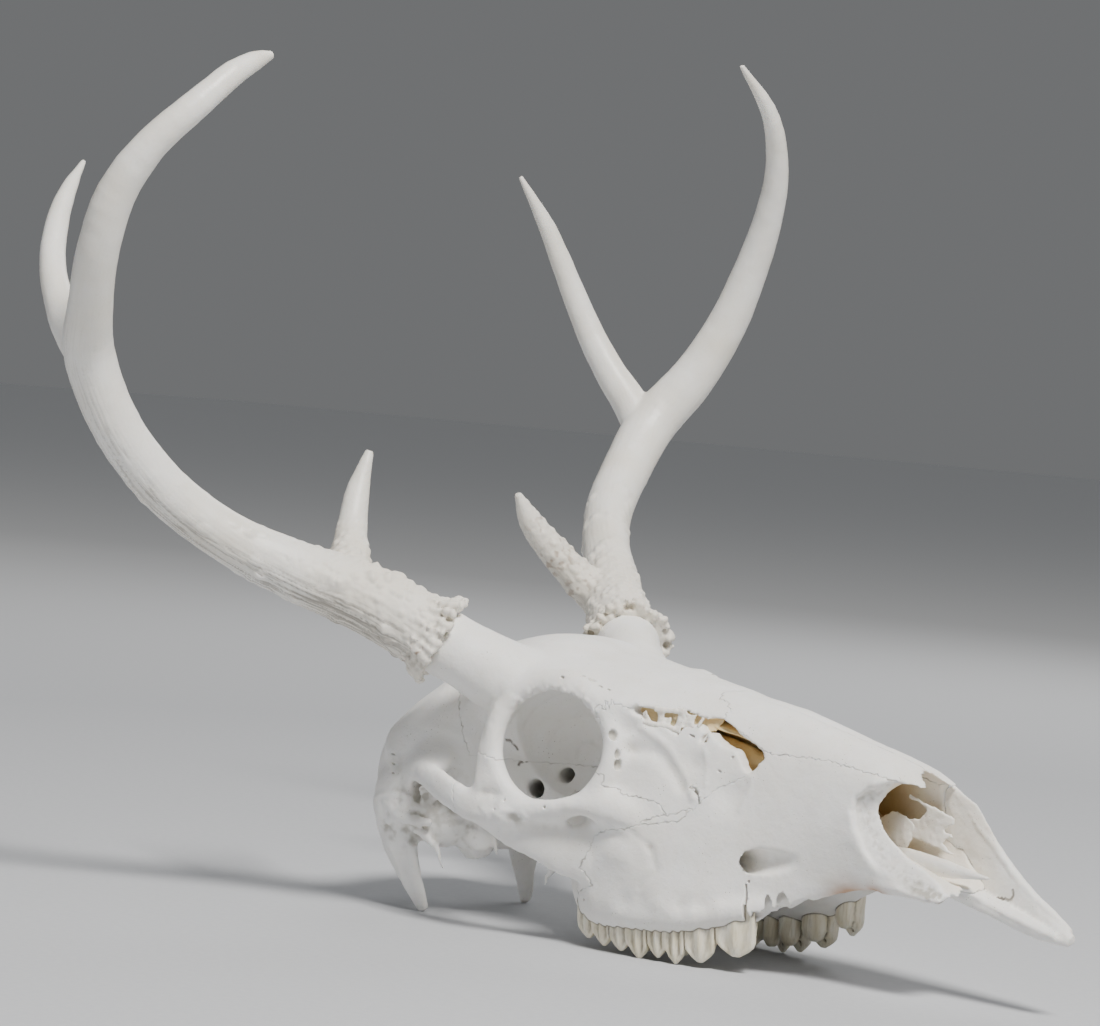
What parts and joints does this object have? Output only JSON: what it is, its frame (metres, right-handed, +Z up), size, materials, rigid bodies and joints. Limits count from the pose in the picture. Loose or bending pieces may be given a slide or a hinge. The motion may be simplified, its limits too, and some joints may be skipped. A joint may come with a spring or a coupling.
{
  "type": "white-tailed deer skull",
  "caption": "Bleached skull of a white-tailed buck without its lower jaw, with both forked antlers, lying on its upper cheek teeth.",
  "frame": {"origin": "middle of the box round the skull and antlers, at the level of the surface that it lies on", "axes": "+X towards the nose, +Y towards the animal's left, +Z up; the skull lies on its grinding teeth and on the two bony processes behind the ears"},
  "size_m": [0.3736, 0.3812, 0.3366],
  "materials": {
    "bone": "dry bleached bone, matt, off-white",
    "antler": "dry bleached antler, matt to satin, cream with grey furrows"
  },
  "bodies": {
    "root": {"braincase": "bone", "left_forehead_bone": "bone", "right_forehead_bone": "bone", "left_nose_bone": "bone", "right_nose_bone": "bone", "left_tear_bone": "bone", "right_tear_bone": "bone", "left_cheek_bone": "bone", "right_cheek_bone": "bone", "left_jaw_bone": "bone", "right_jaw_bone": "bone", "left_premaxilla": "bone", "vomer": "bone", "left_lower_beam": "antler", "left_upper_beam": "antler", "left_fork_tine": "antler", "left_brow_tine": "antler", "right_lower_beam": "antler", "right_upper_beam": "antler", "right_fork_tine": "antler", "right_brow_tine": "antler"}
  },
  "joints": []
}
